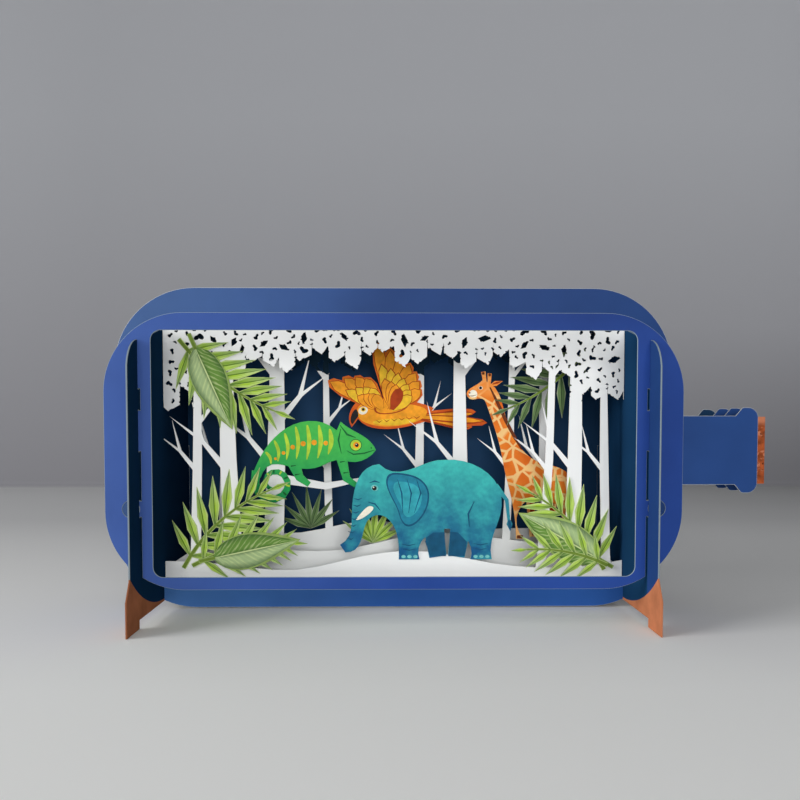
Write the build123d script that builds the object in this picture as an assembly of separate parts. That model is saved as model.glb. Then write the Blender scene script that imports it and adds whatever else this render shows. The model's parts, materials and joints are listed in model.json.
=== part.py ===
from build123d import *
import os
from math import ceil, cos, degrees, hypot, pi, radians, sin

# Pop-out greeting card: a bottle lying on its side, cut from flat card.
# X runs along the bottle to its cork, Y runs back from the reader and Z is up.
# Lengths are millimetres. Drawings are laid out with X = 0 at the middle of the bottle's body.

# Card stock, slots and glue
CARD = 0.5
SLOT_PLAY = 0.15
FRAME_SLIT_PLAY = 0.6
BRIDGE_PLAY = 0.2
GLUE_MARGIN = 4.0

# Bottle outline, shared by the three windowed layers and the back panel
BODY_LENGTH = 186.2
BODY_HEIGHT = 106.9
BODY_BASE = 0.4
BODY_CORNER = 26.8
NECK_HEIGHT = 23.2
NECK_DROP = 0.6
NECK_LENGTH = 29.4
NECK_FILLET = 3.2
LIP_HEIGHT = 28.8
LIP_LENGTH = 7.6
LIP_SLANT = 2.3
LIP_ROUND = 3.4
CORK_HEIGHT = 22.6
CORK_SHOWN = 2.6
CORK_GLUED = 6.0

# Bands of card above and below the windows of the three layers
BAND_LOW = 9.1
BAND_HIGH = 12.8

# Front frame, set in from the bottle outline, and the bars round its window
FRAME_INSET_SIDE = 5.3
FRAME_INSET_LOW = 11.2
FRAME_INSET_HIGH = 11.7
FRAME_CORNER = 24.0
BAR_SIDE = 14.3
BAR_LOW = 3.9
BAR_HIGH = 5.3
WINDOW_CORNER = 3.0

# Where each sheet's front face stands: the frame before the front layer, the others behind it
FRAME_FORWARD = 24.4
LAYER_FRONT_Y = 0.0
LAYER_MIDDLE_Y = 8.9
LAYER_REAR_Y = 18.4
BACK_Y = 32.4

# Side ribs: how far in they stand, past the frame and the back panel, and up to the frame's top
RIB_INSET = 15.5
RIB_PROUD = 9.3
RIB_TAIL = 3.6
RIB_SHOULDER_DROP = 16.6
RIB_APEX_DROP = 8.1
RIB_REAR_DROP = 13.6
RIB_CLEAR = 0.7
RIB_STRADDLE = 1.9
FOOT_REACH = 36.9
FOOT_HEEL = 25.6
FOOT_KNEE = 10.4
FOOT_ANKLE = 16.0
KEEL_BASE = 2.7

# Tabs of each rib that pass through the front frame, and the bridges of the frame between them
TAB_MIDDLE = 15.1
TAB_MIDDLE_DROP = 7.25
TAB_HIGH = 6.6
BRIDGE_LOW = 4.9
BRIDGE_HIGH = 12.3
LOCK_NOTCH = 4.6

# Cut paper: play beside the ribs, and straight cuts from one point of a curve to the next
FOREST_GAP = 0.25
CUTS_PER_SPAN = 3

BODY_TOP = BODY_BASE + BODY_HEIGHT
BODY_CENTRE = BODY_BASE + BODY_HEIGHT / 2
NECK_CENTRE = BODY_CENTRE - NECK_DROP
BODY_END = BODY_LENGTH / 2
LIP_END = BODY_END + NECK_LENGTH
MIDDLE_OF_LENGTH = (LIP_END + CORK_SHOWN - BODY_END) / 2

FRAME_BASE = BODY_BASE + FRAME_INSET_LOW
FRAME_TOP = BODY_TOP - FRAME_INSET_HIGH
FRAME_LENGTH = BODY_LENGTH - 2 * FRAME_INSET_SIDE
TAB_MIDDLE_LOW = (FRAME_BASE + FRAME_TOP) / 2 - TAB_MIDDLE_DROP - TAB_MIDDLE / 2
TAB_MIDDLE_HIGH = TAB_MIDDLE_LOW + TAB_MIDDLE
TAB_LOW_TOP = TAB_MIDDLE_LOW - BRIDGE_LOW
TAB_HIGH_LOW = TAB_MIDDLE_HIGH + BRIDGE_HIGH
TAB_HIGH_TOP = TAB_HIGH_LOW + TAB_HIGH

RIB_X = BODY_END - RIB_INSET
SLOT_HALF = CARD / 2 + SLOT_PLAY
RIB_SHOULDER = FRAME_TOP - RIB_SHOULDER_DROP
RIB_APEX = FRAME_TOP - RIB_APEX_DROP

OPENING_LOW = BODY_BASE + BAND_LOW
OPENING_HIGH = BODY_TOP - BAND_HIGH
FOREST_HALF = RIB_X - CARD / 2 - FOREST_GAP
FOREST_LOW = OPENING_LOW - GLUE_MARGIN
FOREST_HIGH = OPENING_HIGH + GLUE_MARGIN
GOLDEN = 0.618034


def filled(edges):
    """Flat shape inside closed edges, with its normal along +Z."""
    face = make_face(edges).face()
    return Sketch() + (face if face.normal_at().Z > 0 else -face)


def poly(*points):
    """Straight-sided flat shape."""
    return filled(Polyline(*points, close=True))


def chords(curve, spans):
    """Corners of short straight cuts along a curve of several spans, without its last point."""
    count = spans * CUTS_PER_SPAN
    return [(spot.X, spot.Y) for spot in (curve @ (i / count) for i in range(count))]


def cut_out(*runs):
    """Flat shape bounded by runs of points: two points are a straight cut, more are a curve."""
    corners = []
    for run in runs:
        corners += [run[0]] if len(run) == 2 else chords(Spline(*run), len(run) - 1)
    return poly(*corners)


def box(x_low, x_high, z_low, z_high):
    """Upright rectangle between four limits."""
    return poly((x_low, z_low), (x_high, z_low), (x_high, z_high), (x_low, z_high))


def sheet(drawing, front, name):
    """Card cut to a drawing, with its front face at the given depth."""
    upright = Plane(origin=(-MIDDLE_OF_LENGTH, front, 0), x_dir=(1, 0, 0), z_dir=(0, -1, 0))
    solid = extrude(upright * drawing, amount=CARD, dir=(0, 1, 0))
    solid.label = name
    return solid


# Bottle and frame


def bottle_outline():
    """Bottle lying down: rounded body, straight neck and a rolled lip."""
    body = Pos(0, BODY_CENTRE) * RectangleRounded(BODY_LENGTH, BODY_HEIGHT, BODY_CORNER)
    neck = box(0, LIP_END - LIP_ROUND, NECK_CENTRE - NECK_HEIGHT / 2, NECK_CENTRE + NECK_HEIGHT / 2)
    outline = body + neck + lip()
    corners = [
        v for v in outline.vertices()
        if abs(v.X - BODY_END) < 0.01 and abs(v.Y - NECK_CENTRE) < NECK_HEIGHT / 2 + 0.01
    ]
    return fillet(corners, NECK_FILLET)


def lip():
    """Lip at the neck's end, slanted towards the body and round at its outer corners."""
    back, end = LIP_END - LIP_LENGTH, LIP_END
    low, high = NECK_CENTRE - LIP_HEIGHT / 2, NECK_CENTRE + LIP_HEIGHT / 2
    neck_low, neck_high = NECK_CENTRE - NECK_HEIGHT / 2, NECK_CENTRE + NECK_HEIGHT / 2
    shape = poly(
        (back, neck_low), (back + LIP_SLANT, low), (end, low),
        (end, high), (back + LIP_SLANT, high), (back, neck_high),
    )
    ends = [v for v in shape.vertices() if abs(v.X - end) < 0.01]
    shape = fillet(ends, LIP_ROUND)
    shoulders = [v for v in shape.vertices() if abs(v.X - back - LIP_SLANT) < 0.01]
    return fillet(shoulders, min(LIP_SLANT, LIP_LENGTH - LIP_SLANT - LIP_ROUND) * 0.6)


def layer_ring():
    """Bottle outline with a window that the side ribs pass through."""
    half = RIB_X + SLOT_HALF
    return bottle_outline() - box(-half, half, OPENING_LOW, OPENING_HIGH)


def back_outline():
    """Closed bottle outline with two slots, open below, for the side ribs."""
    shape = bottle_outline()
    for side in (-1, 1):
        shape -= box(side * RIB_X - SLOT_HALF, side * RIB_X + SLOT_HALF, 0, BODY_CENTRE)
    return shape


def front_frame():
    """Rounded frame with its window, the ribs' slits and a lock notch beside each low bridge."""
    height = FRAME_TOP - FRAME_BASE
    shape = Pos(0, FRAME_BASE + height / 2) * RectangleRounded(FRAME_LENGTH, height, FRAME_CORNER)
    window_height = height - BAR_LOW - BAR_HIGH
    window = RectangleRounded(FRAME_LENGTH - 2 * BAR_SIDE, window_height, WINDOW_CORNER)
    shape -= Pos(0, FRAME_BASE + BAR_LOW + window_height / 2) * window
    tabs = ((0, TAB_LOW_TOP), (TAB_MIDDLE_LOW, TAB_MIDDLE_HIGH), (TAB_HIGH_LOW, TAB_HIGH_TOP))
    for side in (-1, 1):
        inner = side * (RIB_X - CARD / 2 - FRAME_SLIT_PLAY)
        outer = side * (RIB_X + SLOT_HALF)
        for low, high in tabs:
            shape -= box(min(inner, outer), max(inner, outer), low, high)
        shape -= lock_notch(side)
    return shape


def lock_notch(side):
    """Round-ended hole just outboard of a rib, beside the bridge between its two lower tabs."""
    radius = BRIDGE_LOW / 2 + BRIDGE_PLAY
    edge = side * (RIB_X + SLOT_HALF)
    middle = side * (RIB_X + SLOT_HALF + LOCK_NOTCH - radius)
    height = TAB_LOW_TOP + BRIDGE_LOW / 2
    straight = box(min(edge, middle), max(edge, middle), height - radius, height + radius)
    return straight + Pos(middle, height) * Circle(radius)


def cork_outline():
    """Strip that shows beyond the lip and is glued behind it."""
    return box(
        LIP_END - CORK_GLUED, LIP_END + CORK_SHOWN,
        NECK_CENTRE - CORK_HEIGHT / 2, NECK_CENTRE + CORK_HEIGHT / 2,
    )


# Side ribs, drawn with depth across the page and height up it


def rib_outline():
    """Side view of a rib: front flange, domed top, keel and two feet."""
    front, rear = FRAME_FORWARD + RIB_PROUD, BACK_Y + RIB_TAIL
    rear_top = (BACK_Y - SLOT_PLAY, FRAME_TOP - RIB_REAR_DROP)
    dome = Spline(
        (-FRAME_FORWARD, RIB_APEX), (LAYER_FRONT_Y, OPENING_HIGH - RIB_CLEAR),
        (LAYER_MIDDLE_Y, OPENING_HIGH + RIB_STRADDLE), rear_top,
        tangents=[(1, 0.3), (1, -0.9)],
    )
    bulge = (-FRAME_FORWARD - 0.73 * RIB_PROUD, RIB_SHOULDER + 0.61 * (RIB_APEX - RIB_SHOULDER))
    shoulder = ThreePointArc((-front, RIB_SHOULDER), bulge, (-FRAME_FORWARD, RIB_APEX))
    return poly(
        *chords(shoulder, 2), *chords(dome, 5), rear_top, (BACK_Y - SLOT_PLAY, BODY_CENTRE),
        (rear, BODY_CENTRE), (rear, FOOT_ANKLE), (FOOT_REACH, FOOT_KNEE), (FOOT_REACH, 0),
        (FOOT_HEEL, 0), (FOOT_HEEL, KEEL_BASE), (-FOOT_HEEL, KEEL_BASE), (-FOOT_HEEL, 0),
        (-FOOT_REACH, 0), (-FOOT_REACH, FOOT_KNEE), (-front, FOOT_ANKLE),
    )


def rib_notch(front, low, high):
    """Cut in a rib that lets one sheet through, with play before and behind it."""
    return box(front - SLOT_PLAY, front + CARD + SLOT_PLAY, low, high)


def rib_drawing():
    """Rib with its notches for the frame's bridges, the three windowed layers and the back panel."""
    shape = rib_outline()
    above = BODY_TOP
    bridges = ((TAB_LOW_TOP, TAB_MIDDLE_LOW), (TAB_MIDDLE_HIGH, TAB_HIGH_LOW), (TAB_HIGH_TOP, above))
    for low, high in bridges:
        shape -= rib_notch(-FRAME_FORWARD, low - BRIDGE_PLAY, high + BRIDGE_PLAY)
    for front in (LAYER_FRONT_Y, LAYER_MIDDLE_Y, LAYER_REAR_Y):
        shape -= rib_notch(front, 0, OPENING_LOW + BRIDGE_PLAY)
        shape -= rib_notch(front, OPENING_HIGH - BRIDGE_PLAY, above)
    return shape


def rib(side, name):
    """One side rib, standing across the card."""
    middle = side * RIB_X - MIDDLE_OF_LENGTH
    across_card = Plane(origin=(middle - CARD / 2, 0, 0), x_dir=(0, 1, 0), z_dir=(1, 0, 0))
    solid = extrude(across_card * rib_drawing(), amount=CARD, dir=(1, 0, 0))
    solid.label = name
    return solid


# The picture, laid out to fill the windows of the three layers


def across(share):
    """Place along the picture, which runs from -1 to 1."""
    return share * FOREST_HALF


def up(share):
    """Height in the picture, which runs from 0 to 1."""
    return OPENING_LOW + share * (OPENING_HIGH - OPENING_LOW)


def picture_scale():
    """Length of one unit of the printed figures, whose drawings fill 154 units by 85."""
    return min(2 * FOREST_HALF / 154, (OPENING_HIGH - OPENING_LOW) / 85)


def place(drawing, x, z, turn=0.0):
    """A figure on its sheet, at shares of the picture and turned in degrees."""
    return Pos(across(x), up(z)) * Rot(0, 0, turn) * scale(drawing, by=picture_scale())


def tapered(line, widths):
    """Bent stretch of wood, stem or tail through points, with its width at each and pointed at width 0."""
    left, right = [], []
    for i, ((x, z), width) in enumerate(zip(line, widths)):
        before, after = line[max(i - 1, 0)], line[min(i + 1, len(line) - 1)]
        run, rise = after[0] - before[0], after[1] - before[1]
        reach = width / 2 / hypot(run, rise)
        left.append((x - rise * reach, z + run * reach))
        if width:
            right.append((x + rise * reach, z - run * reach))
    return poly(*left, *reversed(right))


def limb(x0, z0, x1, z1, w0, w1):
    """Tapered straight stretch of branch, leg or tail."""
    return tapered([(x0, z0), (x1, z1)], [w0, w1])


def leaflet(x, z, length, width, turn):
    """Slim pointed leaf from its foot, widest before its middle."""
    belly = length * 0.4
    blade = poly(
        (0, -width * 0.14), (belly, -width / 2), (length, 0), (belly, width / 2), (0, width * 0.14)
    )
    return Pos(x, z) * Rot(0, 0, turn) * blade


# White forest


def canopy_depth(x, middle, sides):
    """How far the leaf canopy hangs down at a place along the sheet."""
    depth = middle + sides * (abs(x) / FOREST_HALF) ** 3 + 1.6 * sin(x * 0.31) + 1.1 * sin(x * 0.83)
    return max(depth, GLUE_MARGIN + 1)


def canopy_edge(middle, sides, leaf, turn):
    """Lower edge of the canopy: a row of hanging leaf tips of changing length and slant."""
    columns = ceil(2 * FOREST_HALF / leaf)
    step = 2 * FOREST_HALF / columns
    edge = []
    for i in range(columns):
        x = -FOREST_HALF + i * step
        z = FOREST_HIGH - canopy_depth(x + step / 2, middle, sides)
        swing = (i * GOLDEN + turn) % 1
        edge += [
            (x, z + leaf * (0.15 + 0.3 * swing)),
            (x + step * 0.02, z - leaf * 0.3),
            (x + step * (0.2 + 0.6 * swing), z - leaf * (0.5 + 0.25 * swing)),
            (x + step * 0.97, z - leaf * 0.15),
        ]
    return edge + [(FOREST_HALF, edge[0][1])]


def leaf_hole(size):
    """Pointed hole the shape of one leaf, from tip to tip along X."""
    return poly((-size / 2, 0), (-size * 0.05, -size * 0.24), (size / 2, 0), (size * 0.1, size * 0.26))


def canopy_holes(middle, sides, leaf, turn, rows):
    """Leaf-shaped holes above the canopy's lower edge, in staggered rows and turned by turns."""
    columns = ceil(2 * FOREST_HALF / (leaf * 1.25))
    step = 2 * FOREST_HALF / columns
    holes = []
    for i in range(1, columns):
        x = -FOREST_HALF + i * step
        z = FOREST_HIGH - canopy_depth(x, middle, sides)
        for row in range(rows):
            height = z + leaf * (row * 1.1 + 0.85)
            if height > OPENING_HIGH - leaf / 2:
                break
            angle = ((i * GOLDEN + row * 0.37 + turn) % 1) * 180
            size = leaf * (0.6 + 0.3 * ((i * GOLDEN * 2 + row * 0.6) % 1))
            holes.append(Pos(x + step / 2 * (row % 2), height) * Rot(0, 0, angle) * leaf_hole(size))
    return holes


def branch(x, z, side, reach, girth):
    """Forked branch that leaves a trunk upwards to one side."""
    elbow = (x + side * reach, z + reach * 1.15)
    tip = (elbow[0] + side * reach * 0.45, elbow[1] + reach * 1.8)
    fork = (elbow[0] + side * reach * 1.25, elbow[1] + reach * 0.95)
    main = tapered([(x, z - girth / 3), elbow, tip], [girth * 1.3, girth * 0.8, 0])
    return [main, limb(*elbow, *fork, girth * 0.7, 0)]


def tree(share, girth, lean, forks):
    """Bare tree: a flared trunk that bends as it rises, with branches to both sides."""
    x, rise = across(share), OPENING_HIGH - FOREST_LOW
    heights = (0, 0.14, 0.5, 1)
    leans = (0, 0.12, 0.7, 1)
    girths = (1.7, 1.0, 0.88, 0.62)
    line = [(x + lean * bend, FOREST_LOW + rise * height) for bend, height in zip(leans, heights)]
    parts = [tapered(line, [girth * wide for wide in girths])]
    for i in range(forks):
        height = 0.46 + 0.36 * i / max(forks - 1, 1)
        foot = x + lean * (0.7 + 0.6 * (height - 0.5))
        reach = 2.2 + girth * (1.5 - height)
        parts += branch(foot, FOREST_LOW + rise * height, 1 if i % 2 else -1, reach, 0.7 + girth * 0.17)
    return parts


def ground(*tops):
    """White ground with a rolling top through evenly spaced heights, as shares of the picture."""
    step = 2 * FOREST_HALF / (len(tops) - 1)
    ridge = [(-FOREST_HALF + i * step, up(top)) for i, top in enumerate(tops)]
    right, left = (FOREST_HALF, FOREST_LOW), (-FOREST_HALF, FOREST_LOW)
    return cut_out(ridge, (ridge[-1], right), (right, left), (left, ridge[0]))


def forest(land, wood, middle, sides, leaf, rows):
    """One white sheet: ground, wood and leaf canopy cut as one, trimmed to fit between the ribs."""
    edge = canopy_edge(middle, sides, leaf, middle * GOLDEN)
    leaves = poly((-FOREST_HALF, FOREST_HIGH), *edge, (FOREST_HALF, FOREST_HIGH))
    leaves -= canopy_holes(middle, sides, leaf, middle * GOLDEN, rows)
    return (land + wood + leaves) & box(-FOREST_HALF, FOREST_HALF, FOREST_LOW, FOREST_HIGH)


def forest_front():
    """Sheet nearest the reader, open in the middle, with the deepest canopy at its sides."""
    wood = [
        *tree(-0.87, 3.4, 1.5, 3), *tree(-0.70, 6.2, -2.5, 2),
        *tree(0.64, 3.0, 4.0, 2), *tree(0.78, 5.4, 1.0, 2), *tree(0.93, 3.0, -1.5, 1),
    ]
    return forest(ground(0.076, 0.059, 0.041, 0.094, 0.112, 0.065, 0.047, 0.076), wood, 11.5, 17, 5.6, 3)


def forest_middle():
    """Second sheet, with a level branch for a figure to stand on."""
    wood = [*tree(-0.55, 7.0, 2.0, 3), *tree(0.31, 5.6, -1.5, 2), *tree(0.5, 2.8, 2.5, 2)]
    perch = [(across(-0.54), up(0.4)), (across(-0.31), up(0.365)), (across(-0.1), up(0.4))]
    wood.append(tapered(perch, [3.4, 2.4, 0.9]))
    return forest(ground(0.05, 0.135, 0.1, 0.118, 0.171, 0.153, 0.12, 0.05), wood, 6, -1, 6.2, 0)


def forest_rear():
    """Last sheet, thin trees before the dark back, with its canopy deepest in the middle."""
    wood = [
        *tree(-0.8, 4.4, 2.0, 2), *tree(-0.3, 2.8, -1.5, 3),
        *tree(0.1, 3.4, 2.0, 3), *tree(0.72, 4.0, -2.0, 2),
    ]
    return forest(ground(0.04, 0.15, 0.159, 0.206, 0.182, 0.171, 0.17, 0.04), wood, 12, -9, 6.6, 0)


# Printed animals, each drawn about its own ground point


def elephant():
    """Elephant walking to the left."""
    body = cut_out(
        ((-17.2, 32.2), (-22.8, 29.4), (-25.6, 23), (-26.4, 14.4), (-27.2, 8.4), (-30.4, 5)),
        ((-30.4, 5), (-28.6, 2.4)),
        ((-28.6, 2.4), (-24.6, 4), (-22.6, 9), (-20.4, 14), (-16.4, 15), (-13, 12.4), (-11, 7.4),
         (-10.6, 0)),
        ((-10.6, 0), (-3.6, 0)),
        ((-3.6, 0), (-3, 6), (1, 9.4), (8.6, 9.8), (12.8, 6.2), (13.6, 0)),
        ((13.6, 0), (20.8, 0)),
        ((20.8, 0), (21.4, 8.5), (24, 17), (22.6, 25.2), (15.5, 31.6), (5, 33.6)),
        ((5, 33.6), (-4.6, 31.2), (-10.4, 29.6), (-17.2, 32.2)),
    )
    far_legs = [limb(1, 12, 2.6, 0.9, 7, 5.8), limb(10.4, 12, 8.8, 0.9, 7, 5.6)]
    tail = tapered([(22, 25), (25.8, 20), (26.6, 12.6)], [1.8, 1.3, 0.9])
    return body + far_legs + tail + leaflet(26.6, 13.6, 4.2, 2.0, -84)


def giraffe():
    """Giraffe standing, looking to the left."""
    body = cut_out(
        ((-9.4, 55.4), (-6, 53.6), (-1.2, 42), (4.6, 31), (9.5, 27.2), (16, 25.4), (21, 22.4), (22, 17)),
        ((22, 17), (21.4, 13), (22.2, 7), (21.6, 0)),
        ((21.6, 0), (18.8, 0)),
        ((18.8, 0), (18.6, 7.5), (16.4, 13.6), (10.5, 15.4), (6, 13.4), (5.2, 0)),
        ((5.2, 0), (2.5, 0)),
        ((2.5, 0), (1.9, 8), (0.4, 16), (-1.4, 23), (-3, 31), (-5.6, 40), (-8.2, 47.4)),
        ((-8.2, 47.4), (-10, 49), (-13.8, 48.8), (-15, 50.6), (-12.8, 53), (-9.4, 55.4)),
    )
    far_legs = [limb(7.2, 16.5, 8.3, 0.8, 2.9, 2.2), limb(15.4, 15.5, 14.4, 0.8, 3.0, 2.2)]
    horns = [limb(-8.6, 54.4, -9.2, 58.2, 1.2, 1.5), limb(-7.2, 54, -7, 57.6, 1.1, 1.4)]
    tail = [limb(21.6, 20.5, 24.6, 9.6, 1.0, 0.6), leaflet(24.5, 10.4, 3.4, 1.6, -78)]
    return body + far_legs + horns + tail + leaflet(-6.6, 53.6, 4.4, 1.8, 18)


def chameleon():
    """Chameleon gripping a branch, looking to the right, its tail rolled up below."""
    body = cut_out(
        ((20.6, 9.6), (17.6, 13.4), (13.4, 16), (8.4, 19.4)),
        ((8.4, 19.4), (7.0, 16.4)),
        ((7.0, 16.4), (1, 19.4), (-7, 18.8), (-14, 14.4), (-19, 8), (-22.4, 0.4)),
        ((-22.4, 0.4), (-19.4, 0.0)),
        ((-19.4, 0.0), (-15.4, 4.6), (-8, 3.6), (1, 3.8), (7.6, 6.2), (12.4, 5.4), (17.6, 6.8),
         (20.6, 9.6)),
    )
    legs = [
        tapered([(8.4, 8), (10.4, -0.4), (13.6, -2.6)], [3.8, 2.7, 1.8]),
        tapered([(-8.4, 6), (-5.8, 0), (-2.6, -2.4)], [4.4, 2.9, 1.8]),
    ]
    tail_root = limb(-20.9, 2.4, -21.4, -2.2, 3.1, 2.8)
    return body + legs + tail_root + rolled_tail(-14.8, -1.8, 6.6, 1.3, 15)


def rolled_tail(centre_x, centre_z, radius, turns, count):
    """Tail that rolls inwards from its root and gets thinner."""
    line, widths = [], []
    for i in range(count + 1):
        share = i / count
        angle = pi + share * turns * 2 * pi
        reach = radius * (1 - 0.72 * share)
        line.append((centre_x + reach * cos(angle), centre_z + reach * sin(angle)))
        widths.append(2.9 - 1.9 * share)
    return tapered(line, widths)


def feather(x, z, length, width, turn):
    """Long feather from its foot, with a rounded end."""
    blade = poly(
        (0, -width * 0.3), (length * 0.7, -width / 2), (length * 0.93, -width * 0.32), (length, 0),
        (length * 0.93, width * 0.32), (length * 0.7, width / 2), (0, width * 0.3),
    )
    return Pos(x, z) * Rot(0, 0, turn) * blade


def wing(x, z, longest, shortest, first, last, feathers):
    """Spread wing: feathers that fan out from the shoulder, longest at the leading edge."""
    fan = []
    for i in range(feathers):
        share = i / (feathers - 1)
        length = longest + (shortest - longest) * share ** 0.8
        fan.append(feather(x, z, length, 5.6, first + (last - first) * share))
    return fan


def flying_parrot():
    """Parrot in flight to the left, with both wings up and a long tail."""
    body = cut_out(
        ((-7.5, 5.6), (-12.4, 7), (-16.6, 4.4), (-18.6, 0.4), (-18, -3.2)),
        ((-18, -3.2), (-15.4, -0.4)),
        ((-15.4, -0.4), (-12.6, -3.2), (-7, -5), (0, -5.2), (8, -4)),
        ((8, -4), (12, 0.6)),
        ((12, 0.6), (4, 4), (-7.5, 5.6)),
    )
    tail = [feather(5, -2.2, 26, 3.4, -10), feather(5, -1.6, 21, 3.4, -17), feather(5, -1.2, 22, 3.2, -3)]
    return body + wing(-3, 1.5, 25, 13, 97, 28, 7) + wing(-6.5, 2, 22, 13, 146, 112, 4) + tail


# Printed leaves, each drawn from its foot with the midrib along X


def frond(length, leaf, pairs, curl):
    """Palm frond with paired leaves on a bent midrib; curl is its whole turn in degrees."""
    bend = radians(curl)
    knots = [(0, 0)]
    leaves = []
    for i in range(pairs + 1):
        share = 0.12 + 0.88 * i / pairs
        heading = bend * share
        x, z = length * sin(heading) / bend, length * (1 - cos(heading)) / bend
        knots.append((x, z))
        if i == pairs:
            leaves.append(leaflet(x, z, leaf * 0.5, leaf * 0.12, degrees(heading)))
            break
        blade = leaf * (sin(pi * (0.2 + 0.7 * share)) + 0.12)
        for side in (-1, 1):
            leaves.append(leaflet(x, z, blade, blade * 0.22, degrees(heading) + side * (64 - 34 * share)))
    widths = [1.5 - 0.9 * i / (pairs + 1) for i in range(pairs + 2)]
    return tapered(knots, widths) + leaves


def broad_leaf(length, width):
    """Broad pointed leaf on a short stalk."""
    lengths = (0, 0.12, 0.42, 0.8, 1)
    widths = (0, 0.34, 0.5, 0.24, 0)
    upper = [(length * along, width * out) for along, out in zip(lengths, widths)]
    lower = [(x, -z) for x, z in reversed(upper)]
    return cut_out(upper, lower) + limb(-length * 0.16, 0, length * 0.1, 0, 1.3, 1.5)


def leaf_fan(length, leaves, spread):
    """Fan of slim leaves from one foot."""
    fan = []
    for i in range(leaves):
        swing = spread * (i / (leaves - 1) - 0.5)
        fan.append(leaflet(0, 0, length * (1 - 0.25 * abs(2 * swing / spread)), length * 0.15, swing))
    return Sketch() + fan


# Putting the card together


def figures():
    """The four printed animals as (name, drawing, place, turn, layer, cards in front of it)."""
    front, middle, rear = LAYER_FRONT_Y, LAYER_MIDDLE_Y, LAYER_REAR_Y
    return [
        ("elephant", elephant(), (0.156, 0.082), 0, front, 0),
        ("giraffe", giraffe(), (0.519, 0.147), 0, middle, 0),
        ("chameleon", chameleon(), (-0.35, 0.4), 0, middle, 0),
        ("flying_parrot", flying_parrot(), (0.03, 0.665), 6, rear, 0),
    ]


def growth():
    """The printed leaves in the same form, from the lower corners round to the upper ones."""
    front, middle, rear = LAYER_FRONT_Y, LAYER_MIDDLE_Y, LAYER_REAR_Y
    return [
        ("palm_low_left", frond(40, 15, 8, -40), (-0.92, 0.05), 62, front, 0),
        ("palm_low_left_flat", frond(34, 12, 7, -30), (-0.88, 0.06), 28, front, 1),
        ("broad_leaf_low_left", broad_leaf(30, 12), (-0.79, 0.09), 12, front, 2),
        ("palm_low_right", frond(36, 14, 8, 35), (0.92, 0.04), 116, front, 0),
        ("broad_leaf_low_right", broad_leaf(32, 13), (0.9, 0.08), 150, front, 1),
        ("palm_low_right_flat", frond(28, 11, 6, 30), (0.93, 0.06), 154, front, 2),
        ("palm_top_left", frond(40, 15, 8, 30), (-0.93, 0.95), -52, front, 0),
        ("broad_leaf_top_left", broad_leaf(30, 12), (-0.86, 0.92), -66, front, 1),
        ("palm_top_right", frond(34, 13, 7, -30), (0.86, 0.92), 232, middle, 1),
        ("fern_middle", leaf_fan(17, 7, 120), (-0.1, 0.135), 84, middle, 0),
        ("fern_rear", leaf_fan(16, 7, 130), (-0.39, 0.18), 96, rear, 0),
    ]


def card_parts():
    """Every piece of the card."""
    pieces = [
        sheet(front_frame(), -FRAME_FORWARD, "front_frame"),
        rib(-1, "side_rib_left"),
        rib(1, "side_rib_right"),
        sheet(back_outline(), BACK_Y, "back_panel"),
        sheet(cork_outline(), LAYER_FRONT_Y + CARD, "cork"),
    ]
    layers = (
        ("front", LAYER_FRONT_Y, forest_front), ("middle", LAYER_MIDDLE_Y, forest_middle),
        ("rear", LAYER_REAR_Y, forest_rear),
    )
    for name, front, trees in layers:
        pieces.append(sheet(layer_ring(), front, f"bottle_layer_{name}"))
        pieces.append(sheet(trees(), front + CARD, f"forest_{name}"))
    for name, drawing, (x, z), turn, layer, under in figures() + growth():
        pieces.append(sheet(place(drawing, x, z, turn), layer - under * CARD, name))
    return pieces


os.makedirs("parts", exist_ok=True)
for piece in card_parts():
    export_step(piece, f"parts/{piece.label}.step")
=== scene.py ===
import json
from math import cos, degrees, hypot, pi, radians, sin

import bmesh
import bpy
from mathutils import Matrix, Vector
from mathutils.bvhtree import BVHTree


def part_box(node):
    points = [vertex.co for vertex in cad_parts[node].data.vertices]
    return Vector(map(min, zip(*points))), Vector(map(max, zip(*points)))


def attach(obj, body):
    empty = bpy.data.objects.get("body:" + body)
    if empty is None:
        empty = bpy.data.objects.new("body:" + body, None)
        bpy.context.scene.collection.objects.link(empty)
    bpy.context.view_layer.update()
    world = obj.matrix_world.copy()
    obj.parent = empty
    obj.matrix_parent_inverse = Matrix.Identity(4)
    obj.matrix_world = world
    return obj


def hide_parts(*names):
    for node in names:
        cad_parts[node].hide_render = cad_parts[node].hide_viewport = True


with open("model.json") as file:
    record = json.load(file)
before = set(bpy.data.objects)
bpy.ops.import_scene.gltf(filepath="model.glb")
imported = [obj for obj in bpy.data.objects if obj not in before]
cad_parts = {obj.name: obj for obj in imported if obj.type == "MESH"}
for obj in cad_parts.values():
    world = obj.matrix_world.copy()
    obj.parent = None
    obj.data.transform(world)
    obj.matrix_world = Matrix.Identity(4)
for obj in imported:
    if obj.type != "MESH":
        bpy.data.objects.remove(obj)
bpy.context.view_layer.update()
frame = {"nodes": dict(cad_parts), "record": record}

# Everything is in metres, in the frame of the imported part.
MM = 0.001
BODY_X = sum(corner.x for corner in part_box("front_frame")) / 2

# Camera: the photograph is 800 pixels wide
PHOTO_WIDTH = 800
FOCAL_PIXELS = 761
SENSOR = 36.0
EYE = (BODY_X - 1.5 * MM, -255 * MM, 62.1 * MM)
PITCH = 2.3
YAW = 0.75
AXIS_PIXELS_LOW = 54.6

# Room
WALL_Y = 0.50
WALL_BEND = 0.006
BEND_STEPS = 12
BEND_FADE = 0.25
ROOM_HALF = 2.5
ROOM_FRONT = -2.0
WALL_TOP = 2.0

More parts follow.
